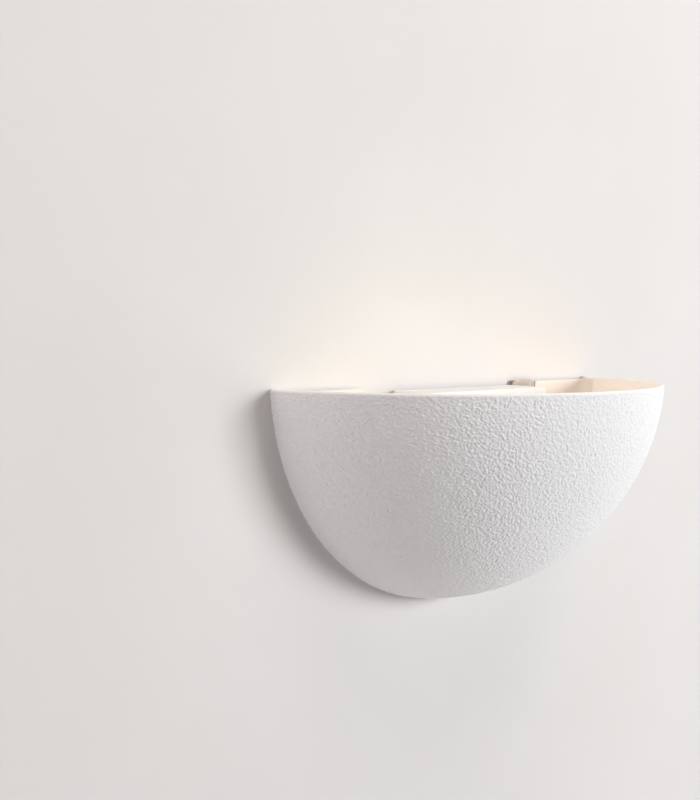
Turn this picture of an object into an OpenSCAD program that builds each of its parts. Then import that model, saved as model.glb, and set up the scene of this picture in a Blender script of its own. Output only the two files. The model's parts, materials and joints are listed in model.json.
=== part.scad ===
// Uplighter wall sconce: a cast quarter-globe bowl on a flat wall bracket, with
// a wiring cover, a lamp holder on a steel strip and a screw-in lamp inside.
// Millimetres. X runs along the wall, Y into the wall, Z up. The wall is the
// plane y = 0 and the origin is midway between the two wall-fixing slots.

/* [Bowl] */
// Width of the bowl across its rim, at the wall
bowl_w = 300; // [294:1:330]
// How far the rim stands out from the wall
bowl_d = 128; // [125:1:136]
// Height from the bowl's lowest point up to the rim
bowl_h = 141.4; // [134:0.2:148]
// Thickness of the cast wall, which is also the round of the rim
bowl_t = 3; // [2:0.25:4]
// Gap between the bowl's back edge and the wall
wall_gap = 0.5; // [0.3:0.1:1]
// Height of the rim above the wall-fixing slots
rim_up = 46.4; // [44:0.2:52]

/* [Back panel] */
// Thickness of the panel inside the bowl's back
panel_t = 2; // [1.5:0.25:3]
// Depth of the panel's top edge below the rim
panel_drop = 1.9; // [0.5:0.1:3]
// Reach of the panel's cut-out below the fixing slots
cutout_below = 42; // [38:1:50]
// Round of the cut-out's two top corners
flange_round = 2; // [1:0.5:10]
// Radius of the hollow corner between the panel and the bowl
fillet_r = 7; // [3:0.5:10]
// Round of the cut-out's two bottom corners
cutout_round = 12; // [6:1:20]
// Gap around the panel's edge inside the bowl
panel_fit = 0.1; // [0.05:0.05:0.3]

/* [Wall bracket] */
// Thickness of the bracket's steel sheet
plate_t = 1.5; // [1:0.25:2.5]
// How far the centre plate reaches past each side of the cover
plate_past = 2; // [1:0.5:4]
// Top edge of the centre plate above the slots
plate_above = 32; // [30:1:35]
// Bottom edge of the centre plate below the slots
plate_below = 36; // [34:1:40]
// Round of the centre plate's corners
plate_round = 5; // [2:1:8]
// Height of the two ears
ear_h = 26; // [20:1:30]
// How far each ear reaches past its stud
ear_past = 10; // [7:1:13]
// Distance between the two wall-fixing slots
slot_span = 80; // [70:1:84]
// Length of a wall-fixing slot, end to end
slot_l = 15; // [10:0.5:17]
// Width of a wall-fixing slot
slot_w = 5.5; // [4.5:0.5:6.5]
// Depth of the cable hole below the slots
cable_below = 17; // [15:0.5:20]
// Radius of the cable bush's bore
cable_r = 4.5; // [3.5:0.5:6]
// Wall of the cable bush around the bore
cable_bush_t = 2.5; // [1.5:0.5:3]
// Height of the cable bush's collar out from the plate
cable_collar = 5.5; // [3:0.5:8]

/* [Studs and thumb nuts] */
// Distance of each stud in from the end of the rim
stud_in = 40; // [37:1:44]
// Radius of the studs
stud_r = 2; // [1.5:0.25:2.5]
// Reach of the studs out from the wall
stud_out = 15; // [14:0.5:18]
// Running gap between a stud and its nut
nut_gap = 0.1; // [0.05:0.01:0.1]
// Radius of the nuts' knurled head
nut_r = 8; // [7:0.5:10]
// Height of the knurled head
nut_head = 5; // [4:0.5:6]
// Height of the nuts' collar
nut_collar = 3; // [2:0.5:3.5]
// Number of grooves in the knurl
nut_grooves = 24; // [16:1:30]
// Thickness of the washer under each nut
washer_t = 1; // [0.5:0.1:1.5]

/* [Wiring cover] */
// Width of the cover
cover_w = 114; // [110:1:120]
// Distance of the cover's front from the wall
cover_out = 33; // [31:1:36]
// Wall of the cover
cover_t = 2; // [1.5:0.25:3]
// Depth of the cover's top below the rim
cover_drop = 3.9; // [2.9:0.1:6]
// Reach of the cover below the slots
cover_below = 31.5; // [30:0.5:34]
// Round of the cover's corners
cover_round = 2.5; // [2:0.5:4]
// Inset of the cover's pillars from its sides
pillar_inset = 9; // [8:0.5:10]
// Radius of the cover's pillars
pillar_r = 3.5; // [3:0.25:4]
// Distance of the wire bush out from the wall
bush_out = 20; // [16:1:22]
// Radius of the wire bush's bore
bush_r = 3.2; // [3:0.1:3.8]

/* [Terminal block] */
// Distance between the block's poles
pole_pitch = 10; // [9:0.5:11]
// Height of the block
block_h = 20; // [18:1:21]
// Gap between the block's lower side and the line of the slots
block_up = 8; // [7:0.5:8]
// Distance of the block's front from the bracket
block_d = 16; // [14:0.5:18]
// Outer radius of the brass sleeves
sleeve_r = 2.6; // [2.4:0.1:3]

/* [Lamp holder and strip] */
// Thickness of the strip's steel
strip_t = 2; // [1.5:0.25:2.5]
// Width of the strip along the wall
leaf_w = 25; // [23:1:30]
// Depth of the strip's top below the rim
leaf_drop = 0.9; // [0:0.1:2]
// Reach of the strip below the slots
leaf_below = 20; // [16:1:24]
// Round of the strip's top corners
leaf_round = 3; // [2:1:10]
// Gap between the cover and the strip's arm
arm_gap = 1; // [0.5:0.5:2]
// Height of the arm that carries the holder
arm_h = 44; // [42:1:46]
// Gap between the strip and the panel's cut-out
leaf_gap = 1; // [0.5:0.5:2]
// Inside radius of the strip's bend
bend_in = 1.5; // [0.5:0.25:2.5]
// Radius of the hole in the arm for the lamp's wires
arm_hole_r = 7; // [6:0.5:8]
// Outer radius of the lamp holder
holder_r = 19; // [17.5:0.5:20]
// Length of the lamp holder
holder_len = 47; // [46:0.5:50]
// Depth of the holder's solid base
holder_base = 14; // [12:0.5:15]
// Place of the centre contact's tip from the arm
contact_in = 20; // [19:0.5:21]
// Distance of the holder's screws from the lamp's axis
holder_screw_off = 12; // [11:0.5:13]

/* [Lamp] */
// Radius of the lamp's globe
bulb_r = 27.5; // [25:0.5:28.5]
// Length of the lamp from contact to tip
bulb_len = 98; // [94:1:100]
// Radius of the screw cap
cap_r = 13.1; // [12.9:0.1:13.2]
// Length of the cap and its contact
cap_len = 27.5; // [27:0.5:29]
// Gap between the cap and the holder's thread
cap_gap = 0.2; // [0.1:0.05:0.3]
// Gap between the globe and the cover
bulb_gap = 4.5; // [3:0.5:6]
// Depth of the globe's top below the rim
bulb_drop = 10.9; // [9.4:0.1:12.4]
// Wall of the globe and of the lamp's housing
bulb_t = 1.2; // [0.8:0.1:1.6]

/* [Fasteners and wires] */
// Radius of the small screws
screw_r = 1.5; // [1.25:0.05:1.6]
// Gap between a screw or pin and its hole
hole_gap = 0.05; // [0.03:0.01:0.1]
// Radius of a wire over its insulation
wire_r = 1.1; // [0.9:0.1:1.2]

/* [Hidden] */
$fn = 96;

paint = [0.93, 0.92, 0.91];
zinc = [0.72, 0.73, 0.74];
raw_steel = [0.55, 0.50, 0.45];
white_plastic = [0.95, 0.94, 0.92];
brass = [0.80, 0.65, 0.35];
nickel = [0.80, 0.79, 0.76];
black_rubber = [0.12, 0.12, 0.12];

// The bowl is part of a true sphere: its radius, how far its centre lies
// behind the wall, and how far above the rim, follow from the three sizes.
half_w = bowl_w / 2;
ball_back = (half_w * half_w - bowl_d * bowl_d) / (2 * bowl_d);
ball_up = (half_w * half_w - bowl_h * bowl_h) / (2 * bowl_h);
ball_r = sqrt(half_w * half_w + ball_back * ball_back + ball_up * ball_up);
ball_z = rim_up + ball_up;
rim_round = bowl_t / 2;
rim_ring_z = rim_up - rim_round;
rim_ring_r = sqrt(pow(ball_r - rim_round, 2) - pow(ball_z - rim_ring_z, 2));

// Clearances and ends shared by several pieces
free_gap = 0.3;
wire_gap = 0.15;
tip_in = 0.3;

// Layers out from the wall
panel_back = plate_t;
panel_front = panel_back + panel_t;
washer_front = panel_front + washer_t;
nut_front = washer_front + nut_collar + nut_head;
nut_collar_r = stud_r + 3;
groove_r = 0.5;
washer_r = nut_r - 1;
foot_r = stud_r + 0.9;

// Stations along the wall
cover_x = cover_w / 2;
arm_x = cover_x + arm_gap;
leaf_x = arm_x + leaf_w;
cutout_x = leaf_x + leaf_gap;
stud_x = half_w - stud_in;
plate_x = cover_x + plate_past;

// The cover
cover_top = rim_up - cover_drop;
cover_mid = (cover_top - cover_below) / 2;
cover_h = cover_top + cover_below;
pillar_x = cover_x - pillar_inset;
bush_up = 9.5;
bush_z = bush_up - cover_below;
bush_t = 1.3;
bush_flange = 2.6;
bush_flange_h = 1.5;
bush_lip = 2;
pillar_down = 8;
pillars = [[-pillar_x, bush_z], [pillar_x, plate_above - pillar_down]];
pillar_foot_r = pillar_r - 1;
cover_hole_r = screw_r + free_gap;
cover_screw_l = 8;
pillar_bore_l = cover_screw_l + 1;
small_head_r = 1.9 * screw_r;
small_head_h = 1.3 * screw_r;
cable_rim_past = 2;
cable_rim_h = 1.2;

// The terminal block
block_mid = block_up + block_h / 2;
block_top = block_up + block_h;
block_front = plate_t + block_d;
block_half = 2.05 * pole_pitch;
block_screw_x = 1.75 * pole_pitch;
pole_out = plate_t + block_d / 2;
poles = [-pole_pitch, 0, pole_pitch];
pole_screws = [block_up + block_h / 4, block_top - block_h / 4];
tower_r = sleeve_r + 1.2;
sleeve_bore = wire_r + wire_gap;
sleeve_inset = 3;
wire_in = 6;
set_screw_down = 2;

// The earth point
earth_x = -34;
earth_z = 18;
earth_r = 2;
earth_head_r = 1.9 * earth_r;
earth_head_h = 1.2 * earth_r;
washer_h = 0.8;
lug_h = 0.8;
lug_r = 4;
barrel_r = wire_r + 0.7;
barrel_l = 7;
barrel_bore_l = 4;
lug_back = plate_t + washer_h;

// The lamp and its holder: one axis along X, the holder on the right
lamp_out = cover_out + bulb_gap + bulb_r;
lamp_z = rim_up - bulb_drop - bulb_r;
lamp_tip_x = arm_x - contact_in;
socket_r = cap_r + cap_gap;
thread_t = 0.5;
holder_bore = socket_r + thread_t + hole_gap;
collar_len = 19;
collar_past = 1.5;
collar_band = 6;
collar_lip = 3;
collar_lip_in = 1;
holder_edge = 2;
thread_in = 2;
port_off = 3;
port_l = 7;
holder_screw_l = 9;
spring_t = 0.8;
spring_w = 6;
spring_foot_w = 8;
spring_foot_l = 11;
spring_tip_l = 5;
spring_top = 2;
strip_screw_off = 6;
globe_at = bulb_len - bulb_r;
joint_at = globe_at - 0.45 * bulb_r;
joint_r = sqrt(bulb_r * bulb_r - pow(globe_at - joint_at, 2));
flare_steps = 8;
flare_past = 0.5;
cap_from = 4.5;
cap_root_r = cap_r - 0.6;
cap_inner_r = cap_r - 2.6;
cap_crests = 5;
crest_pitch = 3.6;
crest_r = 1.2;
crest_from = 7.5;
contact_h = 1.5;
contact_edge = 0.8;
contact_r = 4.6;
contact_face_r = 3.5;
insulator_r = 5;
board_t = 1.6;
board_gap = 0.6;
chip_w = 3;
chip_h = 0.8;

// Wires: hand-chosen ways between the block, the bush and the holder
wire_side = 1.4;
live_way = [
    [poles[1], -pole_out, block_top - wire_in],
    [poles[1], -pole_out, block_top + 2],
    [poles[1] + 4, -pole_out - 2, cover_top - 8],
    [18, -pole_out - 5, cover_top - 9],
    [27, -pole_out - 8, 22],
    [30, -bush_out + 1, 2],
    [37, -bush_out, bush_z + 7],
    [48, -bush_out, bush_z + wire_side],
    [arm_x + 4, -bush_out, bush_z + wire_side],
    [71, -29, -17],
    [76, -46, -8],
    [73, -59, 3],
    [arm_x + 7, -lamp_out + port_off, lamp_z],
    [arm_x + 1, -lamp_out + port_off, lamp_z],
    [arm_x - port_l + 1, -lamp_out + port_off, lamp_z]
];
neutral_way = [
    [poles[2], -pole_out, block_top - wire_in],
    [poles[2], -pole_out, block_top + 1],
    [poles[2] + 3, -pole_out - 1, cover_top - 13],
    [19, -pole_out - 3, cover_top - 16],
    [23, -pole_out - 5, 16],
    [26, -bush_out + 2, -2],
    [34, -bush_out, bush_z + 2],
    [48, -bush_out, bush_z - wire_side],
    [arm_x + 4, -bush_out, bush_z - wire_side],
    [73, -31, -22],
    [80, -50, -13],
    [77.5, -64, -1],
    [arm_x + 8, -lamp_out - port_off, lamp_z],
    [arm_x + 1, -lamp_out - port_off, lamp_z],
    [arm_x - port_l + 1, -lamp_out - port_off, lamp_z]
];
earth_bend = 5;
barrel_top = earth_z + lug_r + barrel_l;
earth_way = [
    [poles[0], -pole_out, block_top - wire_in],
    [poles[0], -pole_out, block_top],
    [poles[0], -pole_out, block_top + earth_bend / 5],
    [poles[0] - earth_bend, -pole_out + earth_bend / 5, block_top + 1.3 * earth_bend],
    [poles[0] - 2.6 * earth_bend, -pole_out + earth_bend / 2, block_top + 1.6 * earth_bend],
    [earth_x + 0.7 * earth_bend, -lug_back - barrel_r - 0.3 * earth_bend, barrel_top + earth_bend],
    [earth_x, -lug_back - barrel_r, barrel_top + earth_bend / 3],
    [earth_x, -lug_back - barrel_r, barrel_top],
    [earth_x, -lug_back - barrel_r, barrel_top - barrel_bore_l + 1]
];
way_steps = 3;
wire_sides = 8;

// ---- helpers ----

// A sheet between two distances from the wall, drawn flat as (x, z)
module sheet(from, to) {
    translate([0, -from, 0]) rotate([90, 0, 0]) linear_extrude(to - from) children();
}

// A rod square to the wall, between two distances from it
module rod_out(x, z, from, to, r) {
    translate([x, -to, z]) rotate([-90, 0, 0]) cylinder(h = to - from, r = r);
}

// A rod along the wall
module rod_along(from, to, out, z, r) {
    translate([from, -out, z]) rotate([0, 90, 0]) cylinder(h = to - from, r = r);
}

// A rod straight up
module rod_up(x, out, from, to, r) {
    translate([x, -out, from]) cylinder(h = to - from, r = r);
}

// A flat rectangle about its centre, with round corners
module rounded(w, h, r) {
    square([w - 2 * r, h], center = true);
    square([w, h - 2 * r], center = true);
    for (x = [-1, 1], y = [-1, 1])
        translate([x * (w / 2 - r), y * (h / 2 - r)]) circle(r);
}

// A flat slot about its centre, along the first axis
module slot(l, w) {
    square([l - w, w], center = true);
    for (x = [-1, 1]) translate([x * (l - w) / 2, 0]) circle(w / 2);
}

// A pan-head screw whose head faces the room, head seated at distance seat
module screw_out(x, z, seat, tip, r, head_r, head_h) {
    difference() {
        union() {
            rod_out(x, z, tip, seat + 0.01, r);
            rod_out(x, z, seat, seat + head_h, head_r);
        }
        translate([x, -seat - head_h, z]) cross_recess(head_r, head_h);
    }
}

// The cross-shaped recess of a screw head, opening towards -Y
module cross_recess(head_r, head_h) {
    for (turn = [0, 90])
        rotate([0, turn, 0]) cube([head_r * 1.1, head_h, head_r * 0.25], center = true);
}

// Turns a profile (radius, distance from the lamp's contact) about the lamp's axis
module lamp_turned() {
    translate([lamp_tip_x, -lamp_out, lamp_z]) rotate([0, -90, 0]) rotate_extrude() children();
}

// Turns a profile (radius, distance from the arm) about the lamp's axis
module holder_turned() {
    translate([arm_x, -lamp_out, lamp_z]) rotate([0, -90, 0]) rotate_extrude() children();
}

// The solid ball that the bowl is cut from
module ball(r) {
    translate([0, ball_back, ball_z]) sphere(r);
}

// The space in front of a plane parallel to the wall and below a height
module front_below(out, z) {
    big = 2 * ball_r;
    translate([-big, -big, z - big]) cube([2 * big, big - out, big]);
}

// ---- wires ----

function unit(v) = v / norm(v);

// A point between way[i] and way[i + 1] on a smooth curve through all points
function on_way(way, i, t) =
    let (a = way[max(i - 1, 0)], b = way[i], c = way[i + 1], d = way[min(i + 2, len(way) - 1)])
    0.5 * (2 * b + (c - a) * t + (2 * a - 5 * b + 4 * c - d) * t * t
        + (3 * b - a - 3 * c + d) * t * t * t);

function smooth_way(way) = [
    for (i = [0 : len(way) - 2]) for (k = [0 : way_steps - 1]) on_way(way, i, k / way_steps),
    way[len(way) - 1]
];

function way_heading(line, i) =
    unit(line[min(i + 1, len(line) - 1)] - line[max(i - 1, 0)]);

// One sideways direction per point, carried along the line without twist
function way_sides(line) = [
    for (i = 0, s = unit(cross(way_heading(line, 0), [0.3, 1, 0.1]));
         i < len(line);
         i = i + 1, s = i < len(line)
             ? unit(s - way_heading(line, i) * (s * way_heading(line, i))) : s) s
];

// A round wire of radius r along the way
module wire(way, r) {
    line = smooth_way(way);
    across = way_sides(line);
    last = len(line) - 1;
    ring_points = [
        for (i = [0 : last]) for (k = [0 : wire_sides - 1])
            let (turn = 360 * k / wire_sides, other = cross(way_heading(line, i), across[i]))
            line[i] + r * (cos(turn) * across[i] + sin(turn) * other)
    ];
    skin = [
        for (i = [0 : last - 1]) for (k = [0 : wire_sides - 1])
            let (a = i * wire_sides + k, b = i * wire_sides + (k + 1) % wire_sides)
            each [[a, a + wire_sides, b], [b, a + wire_sides, b + wire_sides]]
    ];
    ends = [
        for (k = [1 : wire_sides - 2])
            each [[0, k, k + 1], [last * wire_sides, last * wire_sides + k + 1, last * wire_sides + k]]
    ];
    polyhedron(points = ring_points, faces = concat(skin, ends));
}

// ---- the bowl and what comes off with it ----

module bowl_shell() color(paint) {
    intersection() {
        difference() {
            ball(ball_r);
            ball(ball_r - bowl_t);
        }
        front_below(wall_gap, rim_ring_z);
    }
    intersection() {
        translate([0, ball_back, rim_ring_z])
            rotate_extrude() translate([rim_ring_r, 0]) circle(rim_round, $fn = 32);
        front_below(wall_gap, rim_up + bowl_t);
    }
}

// The flat panel in the bowl's back, with a round-cornered bay for the lamp
// gear, and a hollow corner that leads its edge into the bowl
module back_panel() color(paint) {
    panel_plate();
    panel_corner();
}

// The corner is tangent to the panel's front and to the inside of the bowl
module panel_corner() {
    inside_r = ball_r - bowl_t - panel_fit;
    turn_out = panel_front + fillet_r;
    turn_r = sqrt(pow(inside_r - fillet_r, 2) - pow(turn_out + ball_back, 2));
    meet_out = (turn_out + ball_back) * inside_r / (inside_r - fillet_r) - ball_back;
    intersection() {
        translate([0, 0, ball_z]) rotate([90, 0, 0]) rotate_extrude() difference() {
            intersection() {
                translate([0, -ball_back]) circle(inside_r);
                translate([turn_r, panel_front - panel_t / 2])
                    square([ball_r - turn_r, meet_out - panel_front + panel_t / 2]);
            }
            translate([turn_r, turn_out]) circle(fillet_r);
        }
        front_below(panel_back, rim_up - panel_drop);
    }
}

module panel_plate() intersection() {
    ball(ball_r - bowl_t - panel_fit);
    sheet(panel_back, panel_front) difference() {
        panel_top = rim_up - panel_drop;
        low = ball_z - 1.2 * ball_r;
        translate([-ball_r, low]) square([2 * ball_r, panel_top - low]);
        difference() {
            union() {
                translate([0, (panel_top - cutout_below) / 2 + ball_r / 2])
                    rounded(2 * cutout_x, panel_top + cutout_below + ball_r, cutout_round);
                translate([-cutout_x - flange_round, panel_top - flange_round])
                    square([2 * (cutout_x + flange_round), 2 * flange_round]);
            }
            for (side = [-1, 1])
                translate([side * (cutout_x + flange_round), panel_top - flange_round])
                    circle(flange_round);
        }
        for (side = [-1, 1])
            translate([side * stud_x, 0]) circle(stud_r + free_gap);
    }
}

module nut_washers() color(white_plastic) for (side = [-1, 1]) difference() {
    rod_out(side * stud_x, 0, panel_front, washer_front, washer_r);
    rod_out(side * stud_x, 0, panel_front - 1, washer_front + 1, stud_r + free_gap);
}

// A knurled nut with a collar towards the wall, bored through
module thumb_nut(x) color(nickel) difference() {
    union() {
        rod_out(x, 0, washer_front, washer_front + nut_collar, nut_collar_r);
        rod_out(x, 0, washer_front + nut_collar, nut_front, nut_r);
    }
    rod_out(x, 0, washer_front - 1, nut_front + 1, stud_r + nut_gap);
    for (k = [0 : nut_grooves - 1]) {
        turn = 360 * k / nut_grooves;
        rod_out(x + nut_r * cos(turn), nut_r * sin(turn),
            washer_front + nut_collar - 1, nut_front + 1, groove_r);
    }
}

module thumb_nut_left() thumb_nut(-stud_x);

module thumb_nut_right() thumb_nut(stud_x);

// ---- the wall bracket ----

module wall_bracket() color(zinc) sheet(0, plate_t) difference() {
    union() {
        translate([0, (plate_above - plate_below) / 2])
            rounded(2 * plate_x, plate_above + plate_below, plate_round);
        rounded(2 * (stud_x + ear_past), ear_h, plate_round);
    }
    for (side = [-1, 1]) {
        translate([side * slot_span / 2, 0]) slot(slot_l, slot_w);
        translate([side * stud_x, 0]) circle(foot_r + hole_gap);
        translate([side * block_screw_x, block_mid]) circle(screw_r + hole_gap);
        translate([arm_x + leaf_w / 2, side * strip_screw_off]) circle(screw_r + hole_gap);
    }
    translate([0, -cable_below]) circle(cable_r + cable_bush_t + hole_gap);
    translate([earth_x, earth_z]) circle(earth_r + hole_gap);
    for (at = pillars) translate(at) circle(pillar_foot_r + hole_gap);
}

// Clinched studs: a flush foot in the plate and a shank out of it
module bracket_studs() color(zinc) for (side = [-1, 1]) {
    rod_out(side * stud_x, 0, 0, plate_t, foot_r);
    rod_out(side * stud_x, 0, plate_t - 0.01, stud_out, stud_r);
}

module cable_bush() color(black_rubber) difference() {
    outer_r = cable_r + cable_bush_t;
    union() {
        rod_out(0, -cable_below, 0, plate_t + cable_collar, outer_r);
        rod_out(0, -cable_below, plate_t, plate_t + cable_rim_h, outer_r + cable_rim_past);
    }
    rod_out(0, -cable_below, -1, plate_t + cable_collar + 1, cable_r);
}

// ---- the wiring cover ----

module wiring_cover() color(white_plastic) difference() {
    translate([0, 0, cover_mid]) sheet(plate_t, cover_out) rounded(cover_w, cover_h, cover_round);
    translate([0, 0, cover_mid]) sheet(plate_t - 1, cover_out - cover_t)
        rounded(cover_w - 2 * cover_t, cover_h - 2 * cover_t, cover_round - cover_t / 2);
    for (at = pillars) rod_out(at.x, at.y, 0, cover_out + 1, cover_hole_r);
    rod_along(cover_x - cover_t - 1, cover_x + 1, bush_out, bush_z, bush_r + bush_t + hole_gap);
}

// Threaded pillars on the bracket, each with a foot clinched into the plate
module cover_pillars() color(zinc) for (at = pillars) difference() {
    union() {
        rod_out(at.x, at.y, 0, plate_t + 0.01, pillar_foot_r);
        rod_out(at.x, at.y, plate_t, cover_out - cover_t, pillar_r);
    }
    rod_out(at.x, at.y, cover_out - cover_t - pillar_bore_l, cover_out, screw_r + hole_gap);
}

module cover_screws() color(nickel) for (at = pillars)
    screw_out(at.x, at.y, cover_out, cover_out - cover_screw_l, screw_r, small_head_r, small_head_h);

// A snap-in bush where the lamp's wires leave the cover
module wire_bush() color(white_plastic) difference() {
    union() {
        rod_along(cover_x - cover_t - bush_lip, cover_x, bush_out, bush_z, bush_r + bush_t);
        rod_along(cover_x, cover_x + bush_flange_h, bush_out, bush_z, bush_r + bush_flange);
    }
    rod_along(cover_x - cover_t - bush_lip - 1, cover_x + bush_flange_h + 1, bush_out, bush_z, bush_r);
}

// ---- the terminal block and the earth point ----

module terminal_block() color(white_plastic) difference() {
    union() {
        translate([-block_half, -pole_out, block_up])
            cube([2 * block_half, pole_out - plate_t, block_h]);
        for (x = poles) translate([x - tower_r, -block_front, block_up])
            cube([2 * tower_r, block_d, block_h]);
    }
    for (x = poles) {
        rod_up(x, pole_out, block_up - 1, block_top + 1, sleeve_r + hole_gap);
        for (z = pole_screws) rod_out(x, z, pole_out, block_front + 1, screw_r + free_gap);
    }
    for (side = [-1, 1])
        rod_out(side * block_screw_x, block_mid, 0, block_front, screw_r + hole_gap);
}

module terminal_sleeves() color(brass) for (x = poles) difference() {
    rod_up(x, pole_out, block_up + sleeve_inset, block_top - sleeve_inset, sleeve_r);
    rod_up(x, pole_out, block_up, block_top, sleeve_bore);
    for (z = pole_screws) rod_out(x, z, pole_out, block_front, screw_r + hole_gap);
}

module terminal_screws() color(nickel) for (x = poles, z = pole_screws) difference() {
    rod_out(x, z, pole_out + sleeve_bore + hole_gap, block_front - set_screw_down, screw_r);
    translate([x, -block_front + set_screw_down, z])
        cube([3 * screw_r, screw_r, 0.4 * screw_r], center = true);
}

module terminal_fixing_screws() color(zinc) for (side = [-1, 1])
    screw_out(side * block_screw_x, block_mid, pole_out, tip_in, screw_r, small_head_r, small_head_h);

module earth_screw() color(brass)
    screw_out(earth_x, earth_z, lug_back + lug_h, tip_in, earth_r, earth_head_r, earth_head_h);

module earth_washer() color(zinc) difference() {
    rod_out(earth_x, earth_z, plate_t, plate_t + washer_h, lug_r);
    rod_out(earth_x, earth_z, 0, lug_back + 1, earth_r + hole_gap);
}

// A ring lug with a crimped barrel that points up
module earth_lug() color(nickel) difference() {
    union() {
        rod_out(earth_x, earth_z, lug_back, lug_back + lug_h, lug_r);
        translate([earth_x - barrel_r, -lug_back - lug_h, earth_z])
            cube([2 * barrel_r, lug_h, lug_r + barrel_l]);
        rod_up(earth_x, lug_back + barrel_r, earth_z + lug_r, barrel_top, barrel_r);
    }
    rod_out(earth_x, earth_z, 0, lug_back + 3, earth_r + hole_gap);
    rod_up(earth_x, lug_back + barrel_r, barrel_top - barrel_bore_l, barrel_top + 1,
        wire_r + hole_gap);
}

module earth_wire() color("yellowgreen") wire(earth_way, wire_r);

module live_wire() color("saddlebrown") wire(live_way, wire_r);

module neutral_wire() color("steelblue") wire(neutral_way, wire_r);

// ---- the steel strip and the lamp holder ----

// An angle bent from one strip: a leaf flat on the bracket's ear and an arm
// that stands out from it. The leaf rises past the cover's top over the bend.
module holder_strip() color(raw_steel) {
    leaf_front = plate_t + strip_t;
    leaf_top = rim_up - leaf_drop;
    arm_top = lamp_z + arm_h / 2;
    bend_x = arm_x + strip_t + bend_in;
    bend_out = leaf_front + bend_in;
    sheet(plate_t, leaf_front) difference() {
        union() {
            translate([bend_x, -leaf_below])
                square([leaf_x - bend_x, leaf_top - leaf_round + leaf_below]);
            translate([arm_x, arm_top]) square([leaf_w, leaf_top - leaf_round - arm_top]);
            translate([arm_x + leaf_round, arm_top])
                square([leaf_w - 2 * leaf_round, leaf_top - arm_top]);
            for (x = [arm_x + leaf_round, leaf_x - leaf_round])
                translate([x, leaf_top - leaf_round]) circle(leaf_round);
        }
        for (side = [-1, 1])
            translate([arm_x + leaf_w / 2, side * strip_screw_off]) circle(screw_r + hole_gap);
    }
    translate([bend_x, -bend_out, arm_top - arm_h]) linear_extrude(arm_h) intersection() {
        difference() {
            circle(strip_t + bend_in);
            circle(bend_in);
        }
        translate([-strip_t - bend_in, 0]) square(strip_t + bend_in);
    }
    difference() {
        intersection() {
            translate([arm_x, -lamp_out - arm_h, arm_top - arm_h])
                cube([strip_t, lamp_out + arm_h - bend_out, arm_h]);
            union() {
                rod_along(arm_x - 1, arm_x + strip_t + 1, lamp_out, lamp_z, arm_h / 2);
                translate([arm_x - 1, -lamp_out, arm_top - arm_h])
                    cube([strip_t + 2, lamp_out, arm_h]);
            }
        }
        rod_along(arm_x - 1, arm_x + strip_t + 1, lamp_out, lamp_z, arm_hole_r);
        for (side = [-1, 1])
            rod_along(arm_x - 1, arm_x + strip_t + 1, lamp_out,
                lamp_z + side * holder_screw_off, screw_r + hole_gap);
    }
}

module strip_screws() color(zinc) for (side = [-1, 1])
    screw_out(arm_x + leaf_w / 2, side * strip_screw_off, plate_t + strip_t, tip_in,
        screw_r, small_head_r, small_head_h);

// The holder's cup: a solid base with wire ports, and a bore for the thread
module holder_body() color(white_plastic) difference() {
    holder_turned() difference() {
        union() {
            square([holder_r - holder_edge, holder_len - collar_len]);
            translate([0, holder_edge]) square([holder_r, holder_len - collar_len - holder_edge]);
            translate([holder_r - holder_edge, holder_edge]) circle(holder_edge, $fn = 32);
        }
        translate([0, holder_base]) square([holder_bore, holder_len]);
    }
    for (side = [-1, 1]) {
        rod_along(arm_x - port_l, arm_x + 1, lamp_out + side * port_off, lamp_z,
            wire_r + wire_gap);
        rod_along(arm_x - holder_screw_l - 1, arm_x + 1, lamp_out,
            lamp_z + side * holder_screw_off, screw_r + hole_gap);
    }
}

// The skirted ring on the holder's mouth
module holder_collar() color(white_plastic) holder_turned() difference() {
    union() {
        translate([0, holder_len - collar_len]) square([holder_r, collar_len]);
        translate([0, holder_len - collar_len]) square([holder_r + collar_past, collar_band]);
        translate([0, holder_len - collar_lip_in - collar_lip])
            square([holder_r + collar_past, collar_lip]);
    }
    translate([0, holder_len - collar_len - 1]) square([holder_bore, collar_len + 2]);
}

module holder_thread() color(nickel) holder_turned()
    translate([socket_r, holder_base]) square([thread_t, holder_len - holder_base - thread_in]);

// A sprung tongue: a foot on the holder's base and a tip that meets the lamp
module holder_contact() color(brass) {
    foot = arm_x - holder_base;
    tip = lamp_tip_x + cap_gap;
    top = lamp_z + spring_top;
    translate([foot - spring_t, -lamp_out - spring_foot_w / 2, top - spring_foot_l])
        cube([spring_t, spring_foot_w, spring_foot_l]);
    translate([tip, -lamp_out - spring_w / 2, top - spring_t]) cube([foot - tip, spring_w, spring_t]);
    translate([tip, -lamp_out - spring_w / 2, top - spring_tip_l])
        cube([spring_t, spring_w, spring_tip_l]);
}

module holder_screws() color(zinc) for (side = [-1, 1])
    translate([arm_x + strip_t, -lamp_out, lamp_z + side * holder_screw_off]) difference() {
        union() {
            rotate([0, 90, 0]) cylinder(h = small_head_h, r = small_head_r);
            translate([-strip_t - holder_screw_l, 0, 0]) rotate([0, 90, 0])
                cylinder(h = strip_t + holder_screw_l + 0.01, r = screw_r);
        }
        translate([small_head_h, 0, 0]) rotate([0, 0, 90]) cross_recess(small_head_r, small_head_h);
    }

// ---- the lamp ----

// A round diffuser, open where it sits in the housing
module lamp_globe() color(white_plastic) lamp_turned() difference() {
    intersection() {
        translate([0, globe_at]) circle(bulb_r);
        translate([0, joint_at]) square([2 * bulb_r, 2 * bulb_r]);
    }
    translate([0, globe_at]) circle(bulb_r - bulb_t);
}

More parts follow.
